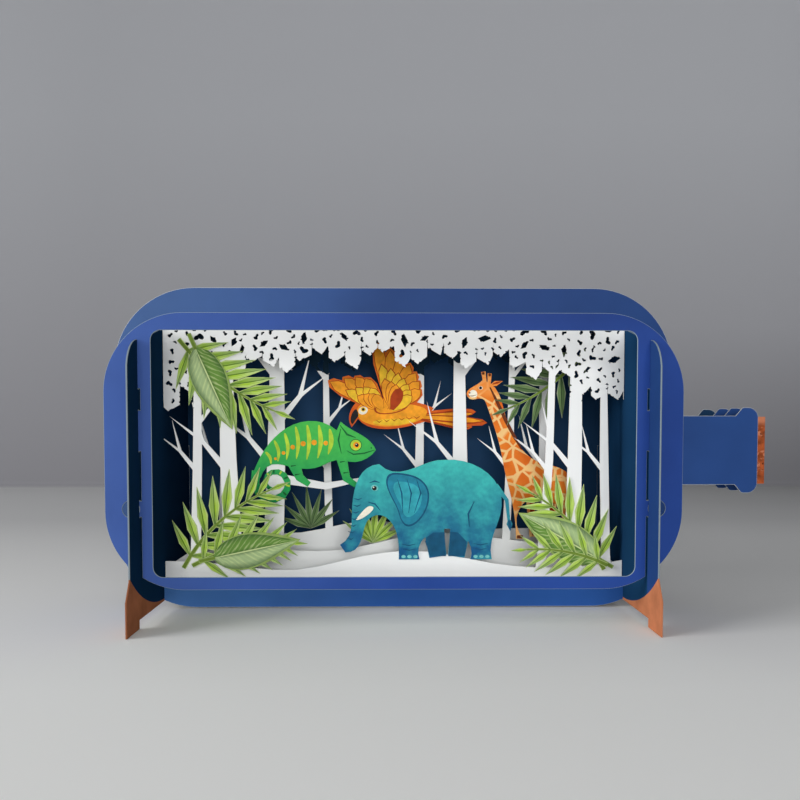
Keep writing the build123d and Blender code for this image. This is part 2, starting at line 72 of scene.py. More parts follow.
# How the room's painted light and shade run: from this far to that far, and how strong the painted shadow at
# the dim right end is
DIM_RIGHT = (0.0, 0.40)
DIM_DOWN = (0.16, 0.02)
DIM_BACK = (0.08, 0.35)
DIM_WALL, DIM_FLOOR, DIM_TO = 0.35, 0.3, 0.1
FLOOR_FADE = (0.24, -0.08)
WALL_ACROSS = (-0.30, 0.35)
WALL_RISE = (0.0, 0.36)
WALL_LOW_RIGHT, WALL_HIGH_RIGHT = 1.25, 1.4

# Light: what comes from all round, and the point that the lamps aim at
SKY = (0.95, 0.97, 1.0, 1)
SKY_STRENGTH = 0.25
LIT = (0, 0, 0.05)

# Card: the cut's soft rim, and how far a printed field stands proud of its card
RIM = 0.11 * MM
PROUD = 0.03 * MM
PRINT_STEP = 0.004 * MM
PRINT_SEAT = 0.1 * MM
PRINT_STEPS = 60
SAME_POINT = 0.001 * MM
GRAIN_SHIFT = 3.7

# How far a face's normal leans along an axis, out of 1, to count as facing that way or as edge on
FACE_ON, FACING, EDGE_ON = 0.85, 0.9, 0.1

# The picture, as the cut-paper sheets hold it: glue margins and the drawings' own units
GLUE_MARGIN = 4 * MM
UNITS_LONG, UNITS_HIGH = 154, 85
GOLDEN = 0.618034

# Small cuts in the leaf canopies: holes between leaves, and bites along the lower edge
EVEN_X, EVEN_Z = 0.7548777, 0.5698403
GAP_SMALL, GAP_LARGE = 1.4 * MM, 4.6 * MM
GAP_RIM, GAP_APART = 0.4 * MM, 0.3 * MM
BITE_SMALL, BITE_LARGE = 0.9 * MM, 1.9 * MM
BITE_STEP, BITE_APART, BITE_HEM = 1.7 * MM, 0.2 * MM, 6 * MM
BITE_INTO, BITE_FIRST, BITE_SWAY = 0.12, 0.3, 0.4
BITE_BACKING = (0.3 * MM, 1.0 * MM, 1.7 * MM)
GAP_CLOSE, GAP_SKEW, GAP_CORNERS, RING_CORNERS = 0.44, 1.5, 14, 10
GAP_ROUND, GAP_OVAL, GAP_LOBED, LOBE_TURN = 0.62, 0.22, 0.16, 1.9
HANG_CURVE = 3
PUNCH_PAST, PROBE = 0.2 * MM, 3 * MM

# Canopies: how far down holes reach, how much further at the sides, and how many places are tried
LACED = {
    "forest_front": (10 * MM, 19 * MM, 1500),
    "forest_middle": (5 * MM, 0, 300),
    "forest_rear": (8 * MM, 0, 400),
}

# Ink and card, in linear colour
BLUE = (0.021, 0.061, 0.208)
FRAME_BLUE = (0.018, 0.053, 0.238)
NAVY = (0.009, 0.040, 0.100)
INNER_NAVY = (0.010, 0.046, 0.115)
# Painted shade: the dark that stands for shade in the canopies of the sheets behind
CROWN_SHADE = (0.004, 0.017, 0.032)
CORE = (0.52, 0.55, 0.57)
# Painted shade: the frame's and ribs' cut edges, darker than the pale core
CORE_SHADED = (0.24, 0.30, 0.34)
WHITE = (0.80, 0.81, 0.80)
BROWN = (0.56, 0.20, 0.095)
CORK = (0.32, 0.070, 0.020)
# Pale cork flecks, and the painted light on the cork's upper end
CORK_FLECKS_AND_LIT_TOP = (0.48, 0.165, 0.085)
# Painted light: the floor lighter towards the front, the wall lighter higher up
FLOOR_FAR, FLOOR_NEAR = (0.53, 0.53, 0.53), (0.86, 0.86, 0.84)
WALL_LOW, WALL_HIGH = (0.213, 0.211, 0.226), (0.267, 0.272, 0.288)

# The blue print's painted light: factors for its paler left end (painted sheen) and its brighter, purer lower
# edge (painted light), and where they run
PAINTED_SHEEN_LEFT, PAINTED_SHEEN_REACH = (2.7, 1.8, 1.2), 95 * MM
PAINTED_LIGHT_LOW, PAINTED_LIGHT_LOW_FROM, PAINTED_LIGHT_LOW_TO = (0.95, 1.3, 1.35), 22 * MM, 10 * MM
# Painted shade: the blue print darker along its top, fading out towards its left end
PAINTED_SHADE_TOP, PAINTED_SHADE_FROM, PAINTED_SHADE_TO = 0.25, 82 * MM, 94 * MM
PAINTED_SHADE_LEFT_FROM, PAINTED_SHADE_LEFT_TO = -60 * MM, -20 * MM

# Card surface: gloss, roughness, and the strength, scale and depth of its fibres
GLOSS, GLOSS_BLUE, GLOSS_RIB = 0.06, 0.04, 0.0
ROUGH_BLUE, ROUGH_BROAD, ROUGH_PRINT, ROUGH_LEAF, ROUGH_WHITE, ROUGH_ROOM = 0.36, 0.45, 0.5, 0.6, 0.7, 0.8
GRAIN_PRINT, GRAIN_LEAF, GRAIN_WHITE = 0.25, 0.3, 0.4
FIBRE, FIBRE_DEPTH = 1400.0, 0.02 * MM

# The painted shade on the rear canopies: how far down it reaches, how much further at the sides, and its
# ragged edge
CROWN_MIDDLE, CROWN_REAR = (12 * MM, 1 * MM), (16.5 * MM, 9 * MM)
CROWN_RAGGED, CROWN_SCALE = 3 * MM, 260.0

# The side ribs' brown feet lie outside an arc
FOOT_RADIUS, FOOT_CENTRE = 50 * MM, 53.6 * MM
# Painted shade: the left rib's navy and brown darker than the right rib's
LEFT_SHADE_NAVY, LEFT_SHADE_BROWN = 0.55, 0.6


class Maker:
    """A node material in the making: adds nodes and links them in one call."""

    def __init__(self, name):
        self.material = bpy.data.materials.new(name)
        self.material.use_nodes = True
        self.tree = self.material.node_tree
        self.shader = self.tree.nodes["Principled BSDF"]

    def put(self, socket, value):
        """A link if the value is another node's socket, or else a plain value."""
        if isinstance(value, bpy.types.NodeSocket):
            self.tree.links.new(value, socket)
        else:
            socket.default_value = (*value, 1.0) if socket.type == "RGBA" and len(value) == 3 else value

    def node(self, kind, output=0, settings=None, **inputs):
        made = self.tree.nodes.new(kind)
        for key, value in (settings or {}).items():
            setattr(made, key, value)
        for key, value in inputs.items():
            index = int(key[1:]) if key[0] == "i" and key[1:].isdigit() else key.replace("_", " ").title()
            self.put(made.inputs[index], value)
        return made.outputs[output]

    def math(self, operation, a, b=0.0):
        return self.node("ShaderNodeMath", settings={"operation": operation}, i0=a, i1=b)

    def mix(self, share, a, b):
        settings = {"data_type": "RGBA"}
        return self.node("ShaderNodeMix", 2, settings, i0=share, i6=a, i7=b)

    def noise(self, scale, detail=2.0, where=None):
        where = where or self.where()
        return self.node("ShaderNodeTexNoise", vector=where, scale=scale, detail=detail)

    def where(self):
        return self.node("ShaderNodeTexCoord", 3)

    def split(self, vector):
        """The three parts of a vector."""
        parts = self.tree.nodes.new("ShaderNodeSeparateXYZ")
        self.put(parts.inputs[0], vector)
        return parts.outputs

    def join(self, x, y, z):
        return self.node("ShaderNodeCombineXYZ", i0=x, i1=y, i2=z)

    def span(self, value, low, high):
        """0 at low, 1 at high, straight between and level beyond."""
        return self.node("ShaderNodeMapRange", i0=value, i1=low, i2=high, i3=0.0, i4=1.0)

    def along(self, axis):
        """One object coordinate, in metres."""
        return self.split(self.where())["XYZ".index(axis)]

    def normal(self, axis):
        return self.split(self.node("ShaderNodeTexCoord", 1))["XYZ".index(axis)]

    def facing(self, axis):
        """1 on the faces that point along an axis, either way, and 0 on cut edges and their rims."""
        return self.math("GREATER_THAN", self.math("ABSOLUTE", self.normal(axis)), FACE_ON)

    def finish(self, colour, roughness, grain=0.0, gloss=GLOSS):
        self.put(self.shader.inputs["Base Color"], colour)
        self.shader.inputs["Specular IOR Level"].default_value = gloss
        self.put(self.shader.inputs["Roughness"], roughness)
        if grain:
            bump = self.node("ShaderNodeBump", strength=grain, distance=FIBRE_DEPTH, height=self.noise(FIBRE))
            self.put(self.shader.inputs["Normal"], bump)
        return self.material


def shade(colour, factor):
    return tuple(channel * factor for channel in colour)


def tinted(colour, factors):
    """A colour with a factor for each channel."""
    return tuple(channel * factor for channel, factor in zip(colour, factors))


# Card materials


def blotched(m, colour, scale=38, depth=0.1):
    """A colour with a faint cloudiness."""
    return m.mix(m.span(m.noise(scale, 3), 0.3, 0.7), shade(colour, 1 - depth), shade(colour, 1 + depth))


def blue_print_with_painted_light(m, colour):
    """Blue print, a little paler towards the left end of the card as painted sheen, and a little deeper along
    its top as painted shade.
    """
    # Painted sheen: the print lighter towards the card's left end
    left = m.span(m.along("X"), BODY_X, BODY_X - PAINTED_SHEEN_REACH)
    ink = m.mix(left, blotched(m, colour), blotched(m, tinted(colour, PAINTED_SHEEN_LEFT)))
    # Painted shade: the print darker along its top
    high = m.span(m.along("Z"), PAINTED_SHADE_FROM, PAINTED_SHADE_TO)
    top = m.math("MULTIPLY", high, m.span(m.along("X"), PAINTED_SHADE_LEFT_FROM, PAINTED_SHADE_LEFT_TO))
    return m.mix(m.math("MULTIPLY", top, PAINTED_SHADE_TOP), ink, (0.0, 0.0, 0.0))


def frame_card():
    """Card printed blue on both faces with a slight sheen and the blue print's painted light and shade, its
    cut edges a duller blue grey as painted shade.
    """
    m = Maker("frame_card")
    # Painted shade on the cut edges
    face = m.mix(m.facing("Y"), CORE_SHADED, blue_print_with_painted_light(m, FRAME_BLUE))
    return m.finish(face, ROUGH_BLUE, GRAIN_PRINT, GLOSS_BLUE)


def blue_card():
    """Card of the bottle outlines: blue print brightened along the lower edge as painted light, pale cut
    edges.
    """
    m = Maker("blue_card")
    # Painted light: the print brighter along the lower edge
    low = m.span(m.along("Z"), PAINTED_LIGHT_LOW_FROM, PAINTED_LIGHT_LOW_TO)
    ink = m.mix(low, blue_print_with_painted_light(m, BLUE), blue_print_with_painted_light(m, tinted(BLUE, PAINTED_LIGHT_LOW)))
    return m.finish(m.mix(m.facing("Y"), CORE, ink), ROUGH_BLUE, GRAIN_PRINT, GLOSS_BLUE)


def navy_card():
    """The dark back, with painted light making it a little lighter in its middle, as if lit through the
    trees.
    """
    m = Maker("navy_card")
    reach = m.math("ABSOLUTE", m.math("SUBTRACT", m.along("X"), BODY_X))
    # Painted light: lighter in the middle of the back
    ink = m.mix(m.span(reach, 5 * MM, 75 * MM), shade(NAVY, 1.5), shade(NAVY, 0.75))
    ink = m.mix(m.span(m.noise(30, 3), 0.35, 0.7), ink, shade(NAVY, 1.1))
    return m.finish(m.mix(m.facing("Y"), CORE, ink), ROUGH_PRINT, GRAIN_PRINT)


def mottled_white(m):
    return m.mix(m.span(m.noise(60, 4), 0.3, 0.75), shade(WHITE, 0.96), WHITE)


def white_card():
    """Uncoated white card, faintly mottled."""
    m = Maker("white_card")
    return m.finish(mottled_white(m), ROUGH_WHITE, GRAIN_WHITE)


def shade_crowned_card(node, hang, sides):
    """White card whose leaf canopy is painted dark, a painted shade behind the sheets before it, so that they
    stand out.
    """
    m = Maker(f"{node}_card")
    low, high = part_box(node)
    reach = m.math("ABSOLUTE", m.math("SUBTRACT", m.along("X"), (low.x + high.x) / 2))
    share = m.math("POWER", m.math("DIVIDE", reach, (high.x - low.x) / 2), HANG_CURVE)
    edge = m.math("ADD", m.math("MULTIPLY", share, sides), high.z - GLUE_MARGIN - hang)
    leafy = m.node("ShaderNodeTexVoronoi", 0, vector=m.where(), scale=CROWN_SCALE)
    height = m.math("ADD", m.along("Z"), m.math("MULTIPLY", leafy, -CROWN_RAGGED))
    # Painted shade: the canopy and its cut edges dark
    shaded_crown = m.math("GREATER_THAN", height, edge)
    face = m.mix(shaded_crown, mottled_white(m), CROWN_SHADE)
    cut = m.mix(shaded_crown, WHITE, shade(CROWN_SHADE, 3))
    return m.finish(m.mix(m.facing("Y"), cut, face), ROUGH_WHITE, GRAIN_WHITE)


def cork_card():
    """Print like cork: brown with dark flecks, lighter towards its upper end as painted light."""
    m = Maker("cork_card")
    low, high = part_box("cork")
    # Painted light: the upper end lighter
    top = m.span(m.along("Z"), high.z - 3.2 * MM, high.z - 1.4 * MM)
    ink = m.mix(m.span(m.noise(420, 3), 0.35, 0.68), shade(CORK, 0.6), shade(CORK, 1.25))
    ink = m.mix(m.span(m.noise(760, 2), 0.62, 0.68), ink, CORK_FLECKS_AND_LIT_TOP)
    flecks = m.span(m.noise(900, 2), 0.60, 0.68)
    ink = m.mix(flecks, ink, shade(CORK, 0.22))
    ink = m.mix(top, ink, CORK_FLECKS_AND_LIT_TOP)
    return m.finish(m.mix(m.facing("Y"), CORE, ink), ROUGH_LEAF, GRAIN_LEAF)


def rib_card(side):
    """Side rib: blue outside, navy inside (on the right only behind the frame; on the left over the whole
    inner side and darker, as painted shade), brown feet below an arc, darker on the left as painted shade.
    """
    m = Maker(f"rib_{side}")
    # Painted shade: on the left rib the navy runs over the whole inner side, the flange before the frame too
    navy_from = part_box("front_frame" if side == "right" else "side_rib_left")[0].y
    depth = m.along("Y")
    drop = m.math("SUBTRACT", m.along("Z"), FOOT_CENTRE)
    reach = m.math("SQRT", m.math("ADD", m.math("MULTIPLY", depth, depth), m.math("MULTIPLY", drop, drop)))
    foot = m.math("MULTIPLY", m.math("GREATER_THAN", reach, FOOT_RADIUS), m.math("LESS_THAN", drop, 0.0))
    inward = m.math("MULTIPLY", m.normal("X"), 1.0 if side == "left" else -1.0)
    behind = m.math("GREATER_THAN", depth, navy_from)
    inside = m.math("MULTIPLY", m.math("GREATER_THAN", inward, FACE_ON), behind)
    # Painted shade: the left rib's navy and brown darker
    navy = INNER_NAVY if side == "right" else shade(INNER_NAVY, LEFT_SHADE_NAVY)
    ink = m.mix(inside, blotched(m, BLUE), blotched(m, navy))
    brown = BROWN if side == "right" else shade(BROWN, LEFT_SHADE_BROWN)
    ink = m.mix(foot, ink, blotched(m, brown, 160, 0.16))
    # Painted shade: cut edges darker than the pale core, the feet's edges darker than their brown
    edge = m.mix(foot, shade(CORE_SHADED, 0.75), shade(brown, 0.7))
    return m.finish(m.mix(m.facing("X"), edge, ink), ROUGH_PRINT, GRAIN_PRINT, GLOSS_RIB)


# Print materials


def wash(name, upper, lower, node, bloom=0.35):
    """Print like a colour wash over one figure: a lighter tint above that runs into a deeper one."""
    m = Maker(name)
    low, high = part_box(node)
    drift = m.math("MULTIPLY", m.math("SUBTRACT", m.noise(45, 3), 0.5), (high.z - low.z) * 0.7)
    height = m.math("ADD", m.along("Z"), drift)
    ink = m.mix(m.span(height, low.z + (high.z - low.z) * 0.15, high.z), lower, upper)
    spots = m.span(m.noise(170, 4), 0.42, 0.7)
    ink = m.mix(m.math("MULTIPLY", spots, bloom), ink, shade(upper, 1.35))
    fine = m.span(m.noise(700, 2), 0.35, 0.75)
    ink = m.mix(m.math("MULTIPLY", fine, 0.22), ink, shade(lower, 0.6))
    edge = m.mix(0.55, CORE, upper)
    return m.finish(m.mix(m.facing("Y"), edge, ink), ROUGH_PRINT, GRAIN_PRINT)


def giraffe_print():
    """Orange patches parted by cream lines, paler on the legs."""
    m = Maker("giraffe_wash")
    low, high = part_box("giraffe")
    warp = m.math("MULTIPLY", m.noise(120, 1), 2 * MM)
    flat = m.join(m.math("ADD", m.along("X"), warp), 0.0, m.math("SUBTRACT", m.along("Z"), warp))
    settings = {"feature": "DISTANCE_TO_EDGE"}
    gap = m.node("ShaderNodeTexVoronoi", 0, settings, vector=flat, scale=235.0)
    patches = m.mix(m.span(m.noise(90, 3), 0.35, 0.7), (0.62, 0.125, 0.012), (0.80, 0.235, 0.025))
    coat = m.mix(m.span(gap, 0.055, 0.105), (0.80, 0.50, 0.20), patches)
    legs = m.span(m.along("Z"), low.z + 12 * MM, low.z + 5 * MM)
    coat = m.mix(m.math("MULTIPLY", legs, 0.75), coat, (0.80, 0.46, 0.18))
    face = m.span(m.along("Z"), low.z + 49 * MM, low.z + 51 * MM)
    coat = m.mix(m.math("MULTIPLY", face, 0.8), coat, (0.78, 0.26, 0.05))
    edge = (0.75, 0.45, 0.25)
    return m.finish(m.mix(m.facing("Y"), edge, coat), ROUGH_PRINT, GRAIN_PRINT)


def ink(name, colour, mottle=0.18):
    """A small printed field, a little uneven."""
    m = Maker(name)
    return m.finish(blotched(m, colour, 420, mottle), ROUGH_PRINT)


def leaf_card(name, pale):
    """Pale card round printed leaves, tinted by the wash that runs over its edges."""
    m = Maker(name)
    tint = m.span(m.noise(150, 3), 0.35, 0.7)
    face = m.mix(tint, pale, shade(pale, 0.72))
    return m.finish(m.mix(m.facing("Y"), shade(pale, 0.9), face), ROUGH_LEAF, GRAIN_LEAF)


def blade_print(name, foot, blade, tip, pale):
    """One leaf of a frond: dark at its foot and midrib, streaked along its length, greyer at its tip."""
    m = Maker(name)
    run, side, own = m.split(m.node("ShaderNodeAttribute", 1, {"attribute_name": "grain"}))
    across = m.math("ABSOLUTE", side)
    lengthwise = m.join(m.math("MULTIPLY", run, 2.0), m.math("MULTIPLY", side, 4.0), own)
    streaks = m.span(m.noise(1.3, 4, lengthwise), 0.40, 0.64)
    colour = m.mix(m.span(run, 0.02, 0.32), foot, blade)
    colour = m.mix(m.span(run, 0.45, 0.95), colour, tip)
    colour = m.mix(m.math("MULTIPLY", streaks, 0.42), colour, pale)
    half = m.math("MULTIPLY", m.math("GREATER_THAN", side, 0.0), 0.42)
    colour = m.mix(half, colour, shade(foot, 1.6))
    rib = m.math("MULTIPLY", m.span(across, 0.2, 0.06), 0.75)
    colour = m.mix(rib, colour, foot)
    rim = m.math("MULTIPLY", m.span(across, 0.78, 1.0), 0.5)
    colour = m.mix(rim, colour, pale)
    return m.finish(colour, ROUGH_PRINT)


def broad_print(name, upper, lower, dark, vein):
    """A broad leaf: one half olive and one silvery, with fine slanted veins and a bright midrib."""
    m = Maker(name)
    run, side, own = m.split(m.node("ShaderNodeAttribute", 1, {"attribute_name": "grain"}))
    across = m.math("ABSOLUTE", side)
    slant = m.math("SUBTRACT", run, m.math("MULTIPLY", across, 0.2))
    wave = m.math("SINE", m.math("MULTIPLY", slant, 2 * pi * 15))
    wobble = m.noise(1.0, 4, m.join(m.math("MULTIPLY", slant, 34.0), m.math("MULTIPLY", side, 2.0), own))
    veins = m.span(m.math("ADD", m.math("MULTIPLY", wave, 0.16), wobble), 0.52, 0.74)
    colour = m.mix(m.math("GREATER_THAN", side, 0.0), lower, upper)
    colour = m.mix(m.math("MULTIPLY", veins, 0.6), colour, vein)
    shadow = m.span(m.math("ADD", across, m.math("MULTIPLY", wobble, 0.3)), 0.75, 1.15)
    colour = m.mix(m.math("MULTIPLY", shadow, 0.75), colour, dark)
    trough = m.math("MULTIPLY", m.span(across, 0.22, 0.05), 0.6)
    colour = m.mix(trough, colour, dark)
    colour = m.mix(m.span(across, 0.05, 0.025), colour, vein)
    return m.finish(colour, ROUGH_BROAD)


LEAF_FOOT = (0.025, 0.085, 0.010)
LEAF_BLADE = (0.30, 0.49, 0.018)
LEAF_TIP = (0.31, 0.42, 0.18)
LEAF_PALE = (0.68, 0.80, 0.34)
SHADE_FOOT = (0.012, 0.035, 0.012)
SHADE_BLADE = (0.085, 0.16, 0.045)
SHADE_TIP = (0.10, 0.15, 0.06)
SHADE_PALE = (0.25, 0.33, 0.17)

CARDS = {
    "blue_card": blue_card(),
    "navy_card": navy_card(),
    "cork_print": cork_card(),
    "leaf_print": leaf_card("leaf_card", (0.50, 0.62, 0.23)),
    "dark_leaf_print": leaf_card("dark_leaf_card", (0.30, 0.36, 0.24)),
}
FIGURES = {
    "front_frame": frame_card(),
    "side_rib_left": rib_card("left"),
    "side_rib_right": rib_card("right"),
    "forest_front": white_card(),
    "forest_middle": shade_crowned_card("forest_middle", *CROWN_MIDDLE),
    "forest_rear": shade_crowned_card("forest_rear", *CROWN_REAR),
    "elephant": wash("elephant_wash", (0.045, 0.42, 0.38), (0.009, 0.090, 0.22), "elephant", 0.45),
    "giraffe": giraffe_print(),
    "chameleon": wash("chameleon_wash", (0.075, 0.50, 0.075), (0.016, 0.33, 0.095), "chameleon", 0.2),
    "flying_parrot": wash("parrot_wash", (0.78, 0.20, 0.020), (0.62, 0.095, 0.012), "flying_parrot"),
}
for broad in ("broad_leaf_low_left", "broad_leaf_low_right", "broad_leaf_top_left"):
    FIGURES[broad] = leaf_card(f"{broad}_card", (0.30, 0.42, 0.12))
BLADES = blade_print("blade_print", LEAF_FOOT, LEAF_BLADE, LEAF_TIP, LEAF_PALE)
DARK_BLADES = blade_print("dark_blade_print", SHADE_FOOT, SHADE_BLADE, SHADE_TIP, SHADE_PALE)
BROAD = broad_print(
    "broad_print", (0.125, 0.25, 0.045), (0.34, 0.46, 0.22), (0.028, 0.085, 0.020), (0.56, 0.66, 0.30)
)
MIDRIB = ink("midrib_ink", (0.14, 0.22, 0.03))
BLACK = ink("black_ink", (0.015, 0.015, 0.018))
IVORY = ink("ivory_ink", (0.80, 0.76, 0.62))
DEEP_TEAL = ink("deep_teal_ink", (0.008, 0.075, 0.15))
MID_TEAL = ink("mid_teal_ink", (0.016, 0.19, 0.28))
SOFT_TEAL = ink("soft_teal_ink", (0.030, 0.30, 0.36))
PALE_TEAL = ink("pale_teal_ink", (0.16, 0.50, 0.48))
LIME = ink("lime_ink", (0.42, 0.62, 0.05))
DEEP_GREEN = ink("deep_green_ink", (0.012, 0.13, 0.035))
YELLOW = ink("yellow_ink", (0.82, 0.50, 0.03))
AMBER = ink("amber_ink", (0.84, 0.33, 0.02))
RUST = ink("rust_ink", (0.36, 0.045, 0.008))
UMBER = ink("umber_ink", (0.12, 0.028, 0.008))


def dress(node, material):
    mesh = frame["nodes"][node].data
    mesh.materials.clear()
    mesh.materials.append(material)


def join_card(piece):
    """A piece of the card, which all rides on the one body."""
    bpy.context.scene.collection.objects.link(piece)
    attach(piece, "root")


# Card sheets with a soft rim, and with the canopy's small holes


def sheet_copy(node):
    """A node's own form in whole faces, free to be worked on."""
    work = bmesh.new()
    work.from_mesh(frame["nodes"][node].data)
    bmesh.ops.remove_doubles(work, verts=work.verts, dist=SAME_POINT)
    bmesh.ops.dissolve_limit(
        work, angle_limit=radians(1), use_dissolve_boundaries=False, verts=work.verts, edges=work.edges
    )
    return work


def soften(work, axis):
    """Narrow rim where each printed face meets the cut."""
    rims = [
        edge for edge in work.edges
        if len(edge.link_faces) == 2
        and sum(abs(face.normal[axis]) > FACING for face in edge.link_faces) == 1
    ]
    bmesh.ops.bevel(
        work, geom=rims, offset=RIM, offset_type="OFFSET", segments=1, profile=0.5,
        affect="EDGES", clamp_overlap=True,
    )


def stand_in(node, work, material):
    """The worked form in place of the node, with the same material."""
    mesh = bpy.data.meshes.new(f"{node}_card")
    work.to_mesh(mesh)
    work.free()
    mesh.materials.append(material)
    piece = bpy.data.objects.new(f"{node}_card", mesh)
    join_card(piece)
    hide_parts(node)
    return piece


def leaf_gap(x, z, size, turn):
    """Outline of an uneven hole between leaves, a little longer one way than the other."""
    outline = []
    for i in range(GAP_CORNERS):
        angle = 2 * pi * i / GAP_CORNERS
        oval, lobed = cos(2 * angle), cos(3 * angle + LOBE_TURN * turn)
        reach = size / 2 * (GAP_ROUND + GAP_OVAL * oval + GAP_LOBED * lobed)
        dx, dz = reach * cos(angle), reach * sin(angle)
        outline.append((x + dx * cos(turn) - dz * sin(turn), z + dx * sin(turn) + dz * cos(turn)))
    return outline


def canopy_bites(work, tree, node, hang, deeper):
    """Small bites out of the canopy's cut edges, as (x, z, size), where there is card enough behind them."""
    low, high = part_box(node)
    middle, half = (low.x + high.x) / 2, (high.x - low.x) / 2
    bites = []
    for edge in work.edges:
        fronts = [face for face in edge.link_faces if face.normal.y < -FACING]
        sides = [face for face in edge.link_faces if abs(face.normal.y) < EDGE_ON]
        if not fronts or not sides:
            continue
        start, run = edge.verts[0].co, edge.verts[1].co - edge.verts[0].co
        outward = sides[0].normal
        for i in range(int(run.length / BITE_STEP)):
            spread = (len(bites) * GOLDEN) % 1
            place = start + run * ((i + BITE_FIRST + BITE_SWAY * spread) * BITE_STEP / run.length)
            size = BITE_SMALL + (BITE_LARGE - BITE_SMALL) * ((len(bites) * GOLDEN * 3) % 1)
            reach = min(1, abs(place.x - middle) / half) ** HANG_CURVE
            inside = low.x + size < place.x < high.x - size and place.z < high.z - GLUE_MARGIN
            if not inside or place.z < high.z - GLUE_MARGIN - hang - deeper * reach - BITE_HEM:
                continue
            behind = [place - outward * (size / 2 + depth) for depth in BITE_BACKING]
            if covered(tree, low.y, [(spot.x, spot.z) for spot in behind]):
                centre = place + outward * size * BITE_INTO
                bites.append((centre.x, centre.z, size))
    return bites


def covered(tree, front, spots):
    """Whether the sheet has card at every one of these spots."""
    return all(
        tree.ray_cast(Vector((x, front - MM, z)), Vector((0, 1, 0)), PROBE)[0] is not None
        for x, z in spots
    )


def canopy_gaps(work, node, hang, deeper, count):
    """Outlines of small bites and holes strewn evenly over a sheet's canopy, apart from each other."""
    low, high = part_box(node)
    mesh = frame["nodes"][node].data
    tree = BVHTree.FromPolygons([v.co for v in mesh.vertices], [p.vertices[:] for p in mesh.polygons])
    middle, half = (low.x + high.x) / 2, (high.x - low.x) / 2
    spots = [(*bite, BITE_APART) for bite in canopy_bites(work, tree, node, hang, deeper)]
    for i in range(count):
        x = low.x + (high.x - low.x) * ((i * EVEN_X) % 1)
        depth = (hang + deeper) * ((i * EVEN_Z) % 1)
        size = GAP_SMALL + (GAP_LARGE - GAP_SMALL) * ((i * GOLDEN) % 1) ** GAP_SKEW
        ring = size / 2 + GAP_RIM
        z = high.z - GLUE_MARGIN - depth
        turns = [2 * pi * corner / RING_CORNERS for corner in range(RING_CORNERS)]
        around = [(x + ring * cos(turn), z + ring * sin(turn)) for turn in turns]
        reach = (abs(x - middle) / half) ** HANG_CURVE
        if depth < hang + deeper * reach and covered(tree, low.y, around):
            spots.append((x, z, size, GAP_APART))
    gaps, taken = [], []
    for x, z, size, apart in spots:
        if all(hypot(x - x2, z - z2) > (size + size2) * GAP_CLOSE + apart for x2, z2, size2 in taken):
            taken.append((x, z, size))
            gaps.append(leaf_gap(x, z, size, len(gaps) * GOLDEN * 2 * pi))
    return gaps


def punches(gaps, front, back):
    """One mesh of prisms that cut the outlines through a sheet."""
    work = bmesh.new()
    for outline in gaps:
        add_prism(work, outline, front - PUNCH_PAST, back + PUNCH_PAST)
    mesh = bpy.data.meshes.new("punches")
    work.to_mesh(mesh)
    work.free()
    return bpy.data.objects.new("punches", mesh)


def add_prism(work, outline, front, back):
    """A closed prism through an outline given as (x, z), anticlockwise as seen from the front."""
    near = [work.verts.new((x, front, z)) for x, z in outline]
    far = [work.verts.new((x, back, z)) for x, z in outline]
    work.faces.new(near)
    work.faces.new(reversed(far))
    for i in range(len(outline)):
        j = (i + 1) % len(outline)
        work.faces.new((near[j], near[i], far[i], far[j]))


def lace(node, material):
    """A forest sheet with small holes punched through its canopy."""
    low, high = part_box(node)
    work = sheet_copy(node)
    cutter = punches(canopy_gaps(work, node, *LACED[node]), low.y, high.y)
    piece = stand_in(node, work, material)
    bpy.context.scene.collection.objects.link(cutter)
    cut = piece.modifiers.new("punched", "BOOLEAN")
    cut.operation = "DIFFERENCE"
    cut.solver = "EXACT"
    cut.object = cutter
    seen = bpy.context.evaluated_depsgraph_get()
    mesh = bpy.data.meshes.new_from_object(piece.evaluated_get(seen))
    piece.modifiers.clear()
    piece.data = mesh
    bpy.data.objects.remove(cutter)


# Printed fields


def area(outline):
    pairs = zip(outline, outline[1:] + outline[:1])
    return sum(x0 * z1 - x1 * z0 for (x0, z0), (x1, z1) in pairs) / 2


def disc(x, z, radius, squash=1.0, turn=0.0, corners=16):
    """Round or oval outline."""
    outline = []
    for i in range(corners):
        angle = 2 * pi * i / corners
        dx, dz = radius * cos(angle), radius * squash * sin(angle)
        tilt = radians(turn)
        outline.append((x + dx * cos(tilt) - dz * sin(tilt), z + dx * sin(tilt) + dz * cos(tilt)))
    return outline


def stroke(points, widths):
    """Outline of a bent brush stroke through points, with its width at each."""
    left, right = [], []
    for i, ((x, z), width) in enumerate(zip(points, widths)):
        before, after = points[max(i - 1, 0)], points[min(i + 1, len(points) - 1)]
        run, rise = after[0] - before[0], after[1] - before[1]
        reach = width / 2 / hypot(run, rise)
        left.append((x - rise * reach, z + run * reach))
        if width:
            right.append((x + rise * reach, z - run * reach))
    return left + right[::-1]


def smooth(corners, steps=4):
    """Closed rounded outline that passes near each corner."""
    outline = []
    count = len(corners)
    for i in range(count):
        a, b, c = corners[i - 1], corners[i], corners[(i + 1) % count]
        start = ((a[0] + b[0]) / 2, (a[1] + b[1]) / 2)
        end = ((b[0] + c[0]) / 2, (b[1] + c[1]) / 2)
        for j in range(steps):
            t = j / steps
            outline.append(tuple(
                start[k] * (1 - t) ** 2 + b[k] * 2 * t * (1 - t) + end[k] * t ** 2 for k in (0, 1)
            ))
    return outline


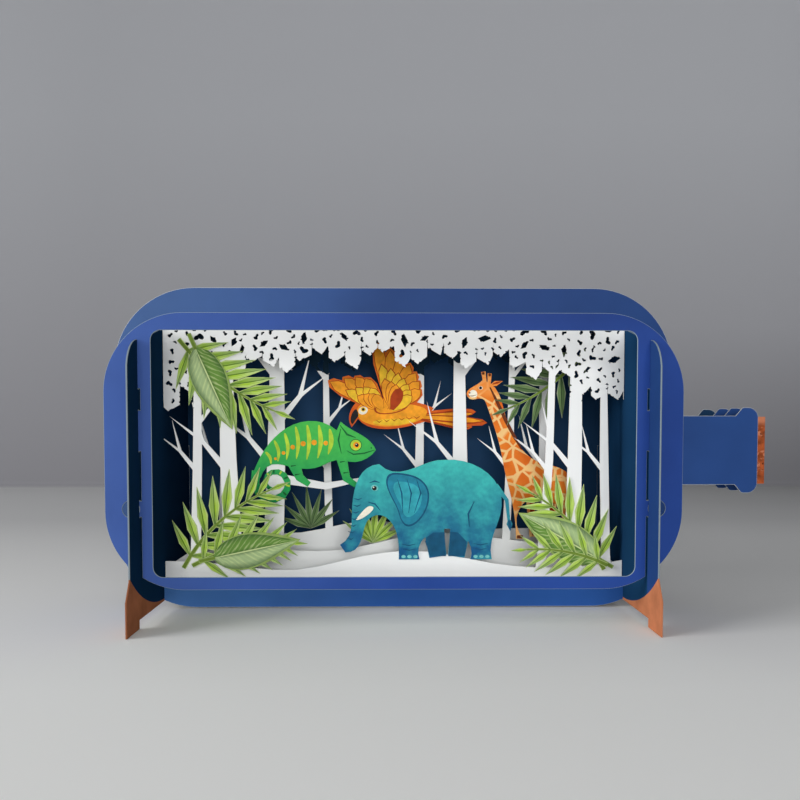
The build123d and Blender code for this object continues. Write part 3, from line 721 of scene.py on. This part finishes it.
class Print:
    """Thin printed fields on the front of one figure, laid over each other in order."""

    def __init__(self, node, share_x, share_z, turn=0.0):
        low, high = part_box("forest_front")
        height = high.z - low.z - 2 * GLUE_MARGIN
        self.unit = min((high.x - low.x) / UNITS_LONG, height / UNITS_HIGH)
        self.x = (low.x + high.x) / 2 + share_x * (high.x - low.x) / 2
        self.z = low.z + GLUE_MARGIN + share_z * height
        self.turn = radians(turn)
        self.node = node
        self.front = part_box(node)[0].y
        self.work = bmesh.new()
        self.grain = self.work.verts.layers.float_vector.new("grain")
        self.inks = []
        self.laid = 0

    def spot(self, x, z):
        """A drawn point as world x and z."""
        across = (x * cos(self.turn) - z * sin(self.turn)) * self.unit
        rise = (x * sin(self.turn) + z * cos(self.turn)) * self.unit
        return self.x + across, self.z + rise

    def depth(self):
        self.laid += 1
        return self.front - PROUD - PRINT_STEP * (self.laid % PRINT_STEPS)

    def index(self, material):
        if material not in self.inks:
            self.inks.append(material)
        return self.inks.index(material)

    def field(self, outline, material):
        """A flat printed field inside an outline."""
        if area(outline) < 0:
            outline = outline[::-1]
        before = len(self.work.faces)
        add_prism(self.work, [self.spot(x, z) for x, z in outline], self.depth(), self.front + PRINT_SEAT)
        self.work.faces.ensure_lookup_table()
        for face in self.work.faces[before:]:
            face.material_index = self.index(material)

    def blade(self, x, z, length, turn, halves, material):
        """A leaf from its foot, with half-widths at even steps up to its tip."""
        heading, front, back = radians(turn), self.depth(), self.front + PRINT_SEAT
        rows = []
        for i, half in enumerate(halves):
            run = i / len(halves)
            rows.append([self.blade_point(x, z, length * run, half * side, heading, front, (run, side))
                         for side in (-1, 0, 1)])
        tip = self.blade_point(x, z, length, 0, heading, front, (1, 0))
        faces = []
        for near, far in zip(rows, rows[1:]):
            faces += [(near[0], far[0], far[1], near[1]), (near[1], far[1], far[2], near[2])]
        faces += [(rows[-1][0], tip, rows[-1][1]), (rows[-1][1], tip, rows[-1][2])]
        rim = [row[0] for row in rows] + [tip] + [row[2] for row in rows[::-1]] + [rows[0][1]]
        sunk = {v: self.work.verts.new((v.co.x, back, v.co.z)) for row in rows for v in row}
        sunk[tip] = self.work.verts.new((tip.co.x, back, tip.co.z))
        for v, low in sunk.items():
            low[self.grain] = v[self.grain]
        made = [self.work.faces.new(face) for face in faces]
        made += [self.work.faces.new([sunk[v] for v in reversed(face)]) for face in faces]
        for a, b in zip(rim, rim[1:] + rim[:1]):
            made.append(self.work.faces.new((b, a, sunk[a], sunk[b])))
        for face in made:
            face.material_index = self.index(material)

    def blade_point(self, x, z, run, side, heading, front, place):
        point = (x + run * cos(heading) - side * sin(heading), z + run * sin(heading) + side * cos(heading))
        across, up = self.spot(*point)
        vert = self.work.verts.new((across, front, up))
        vert[self.grain] = Vector((*place, self.laid * GRAIN_SHIFT))
        return vert

    def done(self):
        mesh = bpy.data.meshes.new(f"{self.node}_print")
        bmesh.ops.recalc_face_normals(self.work, faces=self.work.faces)
        self.work.to_mesh(mesh)
        self.work.free()
        for material in self.inks:
            mesh.materials.append(material)
        join_card(bpy.data.objects.new(f"{self.node}_print", mesh))


# Half-widths from a leaf's foot to its tip, as shares of its widest
BLADE_SHAPE = (0.16, 0.62, 0.92, 0.80, 0.48)
BROAD_SHAPE = (0.10, 0.62, 0.84, 0.95, 1.0, 0.96, 0.86, 0.72, 0.55, 0.37, 0.19)
LONG_FEATHER = (0.3, 0.45, 0.6, 0.75, 0.9, 1.0, 1.0, 0.86)
SHORT_FEATHER = (0.3, 0.5, 0.72, 0.9, 1.0, 1.0, 0.9, 0.7)
TAIL_FEATHER = (0.7, 0.8, 0.9, 1.0, 1.1, 1.2, 1.2, 0.8)

# Printed leaves against their card: length and half-width as shares of the leaf's length
DRAWN = 0.96
LEAF_HALF, FERN_HALF, BROAD_HALF = 0.098, 0.067, 0.47
TIP_LEAF, TIP_HALF = 0.47, 0.05
FROND_BARE = 0.12
LEAF_LOW, LEAF_SWELL, LEAF_LEAST = 0.2, 0.7, 0.12
LEAF_TURN, LEAF_CLOSING = 64, 34
MIDRIB_WIDE, MIDRIB_TAPER = 1.1, 0.7
FEATHER_CURVE = 0.8


def frond(node, share_x, share_z, turn, length, leaf, pairs, curl, material=BLADES):
    """Printed palm frond: paired leaves along a bent midrib."""
    sheet = Print(node, share_x, share_z, turn)
    bend = radians(curl)
    knots = [(0, 0)]
    for i in range(pairs + 1):
        share = FROND_BARE + (1 - FROND_BARE) * i / pairs
        heading = bend * share
        x, z = length * sin(heading) / bend, length * (1 - cos(heading)) / bend
        knots.append((x, z))
        if i == pairs:
            halves = [leaf * TIP_HALF * half for half in BLADE_SHAPE]
            sheet.blade(x, z, leaf * TIP_LEAF, degrees(heading), halves, material)
            break
        reach = leaf * (sin(pi * (LEAF_LOW + LEAF_SWELL * share)) + LEAF_LEAST)
        for side in (-1, 1):
            halves = [reach * LEAF_HALF * half for half in BLADE_SHAPE]
            leaf_turn = degrees(heading) + side * (LEAF_TURN - LEAF_CLOSING * share)
            sheet.blade(x, z, reach * DRAWN, leaf_turn, halves, material)
    widths = [MIDRIB_WIDE - MIDRIB_TAPER * i / (pairs + 1) for i in range(pairs + 2)]
    sheet.field(stroke(knots, widths), MIDRIB)
    sheet.done()


def fern(node, share_x, share_z, turn, length, leaves, spread, material):
    """Printed fan of slim leaves."""
    sheet = Print(node, share_x, share_z, turn)
    for i in range(leaves):
        swing = spread * (i / (leaves - 1) - 0.5)
        reach = length * (1 - 0.25 * abs(2 * swing / spread))
        halves = [length * FERN_HALF * half for half in BLADE_SHAPE]
        sheet.blade(0, 0, reach * DRAWN, swing, halves, material)
    sheet.done()


def broad_leaf(node, share_x, share_z, turn, length, width):
    """Printed broad leaf inside its card's pale margin."""
    sheet = Print(node, share_x, share_z, turn)
    halves = [width * BROAD_HALF * half for half in BROAD_SHAPE]
    sheet.blade(0.3, 0, length * DRAWN, 0, halves, BROAD)
    sheet.field(stroke([(-length * 0.15, 0), (length * 0.03, 0)], [0.8, 0.9]), MIDRIB)
    sheet.done()


# Figures, each drawn in its own units from its feet or its middle


def elephant():
    sheet = Print("elephant", 0.156, 0.082)
    sheet.field([(-0.1, 1.1), (5.3, 1.1), (4.8, 9.2), (1.0, 9.1), (-1.2, 7.5), (-1.7, 6.0)], DEEP_TEAL)
    sheet.field([(6.2, 1.1), (11.5, 1.1), (12.4, 5.9), (9.4, 9.1), (6.7, 9.4)], DEEP_TEAL)
    for foot in (-10.1, 14.2):
        for i in range(3):
            sheet.field(disc(foot + 1.1 + i * 2.0, 0.95, 0.75, 0.75, corners=10), PALE_TEAL)
    ear = [
        (-14.0, 29.4), (-9.0, 29.2), (-3.6, 27.8), (-0.2, 23.8), (-0.6, 17.8), (-3.6, 12.8), (-7.4, 10.6),
        (-9.8, 12.6), (-11.0, 17.2), (-13.6, 21.8), (-15.2, 26.2),
    ]
    middle = (-7.6, 20.6)
    for share, material in ((1, DEEP_TEAL), (0.93, MID_TEAL), (0.66, SOFT_TEAL)):
        turned = [(middle[0] + (x - middle[0]) * share, middle[1] + (z - middle[1]) * share) for x, z in ear]
        sheet.field(smooth(turned), material)
    for x in (-11.0, -7.8, -4.6):
        sheet.field(stroke([(x, 27.0), (x + 1.4, 22.4), (x * 0.6 - 2.6, 15.8)], [0.15, 0.5, 0.15]), DEEP_TEAL)
    sheet.field(disc(-18.7, 24.2, 1.25, 0.8, -20), PALE_TEAL)
    sheet.field(disc(-18.8, 24.1, 0.78), BLACK)
    sheet.field(disc(-19.05, 24.4, 0.24, corners=8), IVORY)
    sheet.field(stroke([(-20.4, 25.9), (-18.7, 26.5), (-17.0, 26.0)], [0.15, 0.5, 0.15]), DEEP_TEAL)
    tusk = [(-18.6, 17.6), (-20.6, 15.4), (-23.4, 13.6), (-25.4, 13.2), (-23.6, 15.4), (-20.8, 18.4)]
    sheet.field(smooth(tusk), IVORY)
    sheet.field(stroke([(-16.8, 16.6), (-18.6, 18.8), (-20.8, 19.4)], [0.2, 0.5, 0.2]), DEEP_TEAL)
    for i in range(7):
        share = i / 6
        x, z = -24.2 - 2.4 * share, 20.6 - 13.4 * share
        fold = [(x - 1.5, z + 0.1), (x, z - 0.35), (x + 1.3 - share * 0.5, z + 0.2)]
        sheet.field(stroke(fold, [0.1, 0.4, 0.1]), DEEP_TEAL)
    for x, z, reach in ((-9.6, 5.2, 4.6), (-9.2, 3.6, 4.2), (14.6, 5.4, 4.8), (14.8, 3.8, 4.4)):
        sheet.field(stroke([(x, z), (x + reach / 2, z - 0.5), (x + reach, z)], [0.1, 0.35, 0.1]), DEEP_TEAL)
    sheet.field(stroke([(14.8, 19.6), (12.8, 15.4), (13.2, 11.0)], [0.15, 0.6, 0.15]), DEEP_TEAL)
    sheet.field(stroke([(26.6, 13.2), (26.9, 11.4), (27.0, 9.8)], [0.8, 1.1, 0.2]), DEEP_TEAL)
    sheet.done()


def giraffe():
    sheet = Print("giraffe", 0.519, 0.147)
    sheet.field(stroke([(-6.9, 52.8), (-4.1, 47.2), (-1.3, 41.2), (1.6, 35.8), (4.2, 31.3)],
                       [0.4, 1.1, 1.2, 1.1, 0.4]), UMBER)
    sheet.field(smooth([(-14.6, 50.5), (-13.4, 49.2), (-11.4, 49.4), (-11.2, 51.2), (-13.0, 52.3)]), IVORY)
    sheet.field(disc(-13.9, 50.9, 0.28, corners=8), UMBER)
    sheet.field(stroke([(-14.3, 49.9), (-12.9, 49.8), (-11.6, 50.2)], [0.1, 0.28, 0.1]), UMBER)
    sheet.field(disc(-10.1, 52.6, 0.72, 0.85), IVORY)
    sheet.field(disc(-10.15, 52.6, 0.5), BLACK)
    for x, z in ((-9.25, 57.6), (-7.0, 57.1)):
        sheet.field(disc(x, z, 0.5, corners=10), UMBER)
    sheet.field(stroke([(-6.0, 53.9), (-4.4, 54.4), (-2.9, 54.8)], [0.3, 0.7, 0.2]), RUST)
    sheet.field([(7.3, 10.6), (8.1, 1.2), (9.2, 1.2), (8.5, 13.2), (7.2, 12.8)], RUST)
    sheet.field([(13.5, 13.6), (13.5, 1.2), (15.2, 1.2), (15.8, 12.6)], RUST)
    for left, right in ((2.7, 5.0), (19.0, 21.4)):
        sheet.field([(left, 0.15), (right, 0.15), (right - 0.15, 1.3), (left + 0.15, 1.3)], UMBER)
    sheet.field(stroke([(24.4, 10.4), (24.8, 8.8), (25.1, 7.6)], [0.8, 0.9, 0.2]), UMBER)
    sheet.done()


def chameleon():
    sheet = Print("chameleon", -0.35, 0.4)
    bands = (
        ((4.6, 17.0), (5.4, 12.4), (4.0, 8.0)), ((0.8, 18.4), (1.8, 12.6), (0.4, 6.6)),
        ((-3.2, 18.4), (-2.2, 12.4), (-3.4, 6.2)), ((-7.2, 17.8), (-6.0, 12.0), (-7.0, 6.4)),
        ((-11.0, 15.6), (-9.6, 10.8), (-10.4, 6.2)), ((-14.6, 13.0), (-12.8, 9.2), (-13.4, 5.6)),
        ((-17.6, 9.0), (-15.8, 7.0), (-15.8, 4.8)),
    )
    for i, band in enumerate(bands):
        sheet.field(smooth(stroke(band, [0.9, 2.0 - i * 0.14, 0.5]), 3), LIME)
    for x, z, radius in ((3.2, 12.0, 0.8), (-0.8, 12.2, 0.95), (-4.6, 11.8, 0.9), (-8.2, 10.6, 0.8),
                         (-11.4, 8.6, 0.65), (-14.2, 6.6, 0.5)):
        sheet.field(disc(x, z, radius), AMBER)
    sheet.field(stroke([(8.2, 18.2), (10.6, 15.0), (13.6, 13.9)], [0.2, 0.7, 0.2]), DEEP_GREEN)
    mouth = [(20.1, 9.6), (16.6, 8.5), (12.8, 8.1), (10.4, 9.4)]
    sheet.field(stroke(mouth, [0.2, 0.5, 0.5, 0.15]), DEEP_GREEN)
    sheet.field(stroke([(8.4, 17.0), (7.6, 13.0), (8.6, 8.4)], [0.2, 0.6, 0.15]), DEEP_GREEN)
    sheet.field(disc(13.6, 11.3, 2.1), DEEP_GREEN)
    sheet.field(disc(13.6, 11.3, 1.85), LIME)
    sheet.field(disc(13.8, 11.3, 1.15), AMBER)
    sheet.field(disc(13.95, 11.3, 0.65), BLACK)
    sheet.field(disc(13.75, 11.6, 0.2, corners=8), IVORY)
    sheet.field(disc(19.0, 10.3, 0.28, corners=8), DEEP_GREEN)
    for x, z in ((9.0, 5.4), (10.2, 1.6), (-8.0, 4.0), (-6.6, 1.0)):
        sheet.field(stroke([(x - 0.9, z), (x + 0.9, z + 0.3)], [0.5, 0.2]), DEEP_GREEN)
    for i in range(14):
        share = i / 13
        angle = pi + share * 1.22 * 2 * pi
        reach = 6.6 * (1 - 0.72 * share * 1.22 / 1.3)
        inner, outer = reach - 0.9 + 0.5 * share, reach + 0.9 - 0.5 * share
        ends = [(-14.8 + r * cos(angle), -1.8 + r * sin(angle)) for r in (inner, outer)]
        sheet.field(stroke(ends, [0.5, 0.9 - 0.4 * share]), LIME if i % 2 else DEEP_GREEN)
    sheet.done()


def parrot_wing(sheet, x, z, longest, shortest, first, last, feathers):
    """Feathers with a dark shaft, then two rows of shorter feathers over their feet."""
    for i in range(feathers):
        share = i / (feathers - 1)
        turn = first + (last - first) * share
        length = longest + (shortest - longest) * share ** FEATHER_CURVE
        for reach, half, material in ((0.97, 2.2, RUST), (0.955, 1.95, AMBER)):
            halves = [half * wide for wide in LONG_FEATHER]
            sheet.blade(x, z, length * reach, turn, halves, material)
    for row, reach, material in ((0, 0.66, YELLOW), (1, 0.45, AMBER)):
        for i in range(feathers):
            share = i / (feathers - 1)
            turn = first + (last - first) * share
            length = (longest + (shortest - longest) * share ** FEATHER_CURVE) * reach
            halves = [1.9 * wide for wide in SHORT_FEATHER]
            sheet.blade(x, z, length * 1.03, turn, [half * 1.12 for half in halves], RUST)
            sheet.blade(x, z, length, turn, halves, material)


def parrot():
    sheet = Print("flying_parrot", 0.03, 0.665, 6)
    parrot_wing(sheet, -6.5, 2, 22, 13, 146, 112, 4)
    parrot_wing(sheet, -3, 1.5, 25, 13, 97, 28, 7)
    for length, turn in ((21, -17), (22, -3), (26, -10)):
        halves = [half * 1.15 for half in TAIL_FEATHER]
        sheet.blade(5, -1.8, length * DRAWN, turn, halves, RUST)
        sheet.blade(6, -1.9, length * 0.90, turn, [half * 0.62 for half in halves], AMBER)
    body = [
        (-7.6, 4.6), (-11.6, 5.8), (-15.0, 4.0), (-15.8, 1.6), (-14.8, -0.8), (-12.2, -2.6), (-7.0, -4.3),
        (0, -4.6), (7.4, -3.4), (10.6, 0.2), (4, 3.0),
    ]
    sheet.field(smooth(body), AMBER)
    sheet.field(smooth([(-11.6, -2.2), (-6, -3.9), (1.0, -4.2), (6.8, -3.0), (0, -2.0), (-7, -1.4)]), YELLOW)
    for i in range(6):
        x = i * 2.7
        sheet.field(stroke([(x - 9, -1.6), (x - 8, -2.5), (x - 6.8, -1.9)], [0.1, 0.4, 0.1]), RUST)
    shoulder = [(-9.6, 0.6), (-9.0, 4.2), (-5.6, 6.6), (-1.0, 7.2), (2.6, 5.0), (3.4, 1.6), (-2.6, -0.2)]
    sheet.field(smooth(shoulder), RUST)
    sheet.field(smooth([(x * 0.9 - 0.3, 3.2 + (z - 3.2) * 0.88) for x, z in shoulder]), AMBER)
    for x, z in ((-6.6, 2.6), (-4.2, 4.6), (-3.6, 1.9), (-1.4, 4.4), (-0.8, 1.8), (1.2, 3.2)):
        sheet.field(stroke([(x - 1.0, z), (x, z + 0.8), (x + 1.0, z)], [0.1, 0.4, 0.1]), RUST)
    bill = [(-15.6, 3.6), (-17.4, 1.8), (-18.3, -0.6), (-17.7, -2.6), (-16.3, -0.6), (-14.9, 0.6)]
    sheet.field(smooth(bill), BLACK)
    sheet.field(disc(-13.3, 2.3, 1.75, 0.8, 15), IVORY)
    sheet.field(disc(-13.2, 2.7, 0.85), YELLOW)
    sheet.field(disc(-13.2, 2.7, 0.5), BLACK)
    sheet.done()


# Room, light and camera


def room():
    """Pale floor that bends up into a grey wall."""
    profile = [(ROOM_FRONT, 0.0), (0.0, 0.0)]
    for i in range(BEND_STEPS + 1):
        turn = radians(90 * i / BEND_STEPS)
        profile.append((WALL_Y - WALL_BEND + WALL_BEND * sin(turn), WALL_BEND - WALL_BEND * cos(turn)))
    profile.append((WALL_Y, WALL_TOP))
    points = [(x, y, z) for y, z in profile for x in (-ROOM_HALF, ROOM_HALF)]
    faces = [(2 * i, 2 * i + 1, 2 * i + 3, 2 * i + 2) for i in range(len(profile) - 1)]
    mesh = bpy.data.meshes.new("room")
    mesh.from_pydata(points, [], faces)
    floor = bpy.data.objects.new("room", mesh)
    bpy.context.scene.collection.objects.link(floor)
    m = Maker("room")
    # Painted shadow: the room dimmer at its right end, low on the wall and far on the floor; painted light:
    # the floor lighter towards the front, the wall lighter higher up and towards the right
    right = m.span(m.along("X"), *DIM_RIGHT)
    low = m.math("MULTIPLY", right, m.span(m.along("Z"), *DIM_DOWN))
    far = m.math("MULTIPLY", right, m.span(m.along("Y"), *DIM_BACK))
    floor_colour = m.mix(m.span(m.along("Y"), *FLOOR_FADE), FLOOR_FAR, FLOOR_NEAR)
    floor_colour = m.mix(m.math("MULTIPLY", far, DIM_FLOOR), floor_colour, shade(FLOOR_FAR, DIM_TO))
    across = m.span(m.along("X"), *WALL_ACROSS)
    wall_low = m.mix(across, WALL_LOW, shade(WALL_LOW, WALL_LOW_RIGHT))
    wall_high = m.mix(across, WALL_HIGH, shade(WALL_HIGH, WALL_HIGH_RIGHT))
    wall_colour = m.mix(m.span(m.along("Z"), *WALL_RISE), wall_low, wall_high)
    wall_colour = m.mix(m.math("MULTIPLY", low, DIM_WALL), wall_colour, shade(WALL_LOW, DIM_TO))
    up = m.math("POWER", m.span(m.along("Z"), 0.0, WALL_BEND / 3), BEND_FADE)
    room_colour = m.mix(up, floor_colour, wall_colour)
    mesh.materials.append(m.finish(room_colour, ROUGH_ROOM))


def lamp(name, place, target, size, watts):
    data = bpy.data.lights.new(name, "AREA")
    data.shape = "SQUARE"
    data.size = size
    data.energy = watts
    light = bpy.data.objects.new(name, data)
    light.location = place
    light.rotation_euler = (Vector(target) - Vector(place)).to_track_quat("-Z", "Y").to_euler()
    bpy.context.scene.collection.objects.link(light)


def lights():
    lamp("front", place=(0.03, -1.32, 0.25), target=LIT, size=0.8, watts=14.5)
    lamp("side", place=(-1.10, -0.45, 0.45), target=LIT, size=0.6, watts=10)
    world = bpy.data.worlds.new("world")
    world.use_nodes = True
    background = world.node_tree.nodes["Background"]
    background.inputs["Color"].default_value = SKY
    background.inputs["Strength"].default_value = SKY_STRENGTH
    bpy.context.scene.world = world


def camera():
    data = bpy.data.cameras.new("camera")
    data.sensor_width = SENSOR
    data.lens = SENSOR * FOCAL_PIXELS / PHOTO_WIDTH
    data.shift_y = AXIS_PIXELS_LOW / PHOTO_WIDTH
    eye = bpy.data.objects.new("camera", data)
    eye.location = EYE
    eye.rotation_euler = (radians(90 - PITCH), 0, radians(-YAW))
    bpy.context.scene.collection.objects.link(eye)
    bpy.context.scene.camera = eye


# The whole card


def card():
    """Materials on the card's own sheets, soft rims on the printed ones, and laced canopies."""
    for part in frame["record"]["subparts"]:
        node, slot = part["node"], part["material_slot"]
        material = FIGURES[node] if node in FIGURES else CARDS[slot]
        dress(node, material)
        if slot in ("blue_card", "navy_card"):
            work = sheet_copy(node)
            soften(work, 0 if node.startswith("side_rib") else 1)
            stand_in(node, work, material)
    for node in LACED:
        lace(node, FIGURES[node])


def growth():
    """Print on the leaves: each node, its foot across and up the picture, turn, length, and leaf sizes."""
    frond("palm_low_left", -0.92, 0.05, 62, 40, 15, 8, -40)
    frond("palm_low_left_flat", -0.88, 0.06, 28, 34, 12, 7, -30)
    broad_leaf("broad_leaf_low_left", -0.79, 0.09, 12, 30, 12)
    frond("palm_low_right", 0.92, 0.04, 116, 36, 14, 8, 35)
    broad_leaf("broad_leaf_low_right", 0.9, 0.08, 150, 32, 13)
    frond("palm_low_right_flat", 0.93, 0.06, 154, 28, 11, 6, 30)
    frond("palm_top_left", -0.93, 0.95, -52, 40, 15, 8, 30)
    broad_leaf("broad_leaf_top_left", -0.86, 0.92, -66, 30, 12)
    frond("palm_top_right", 0.86, 0.92, 232, 34, 13, 7, -30, DARK_BLADES)
    fern("fern_middle", -0.1, 0.135, 84, 17, 7, 120, BLADES)
    fern("fern_rear", -0.39, 0.18, 96, 16, 7, 130, DARK_BLADES)


room()
lights()
camera()
card()
growth()
elephant()
giraffe()
chameleon()
parrot()
bpy.context.scene.view_settings.view_transform = "Standard"
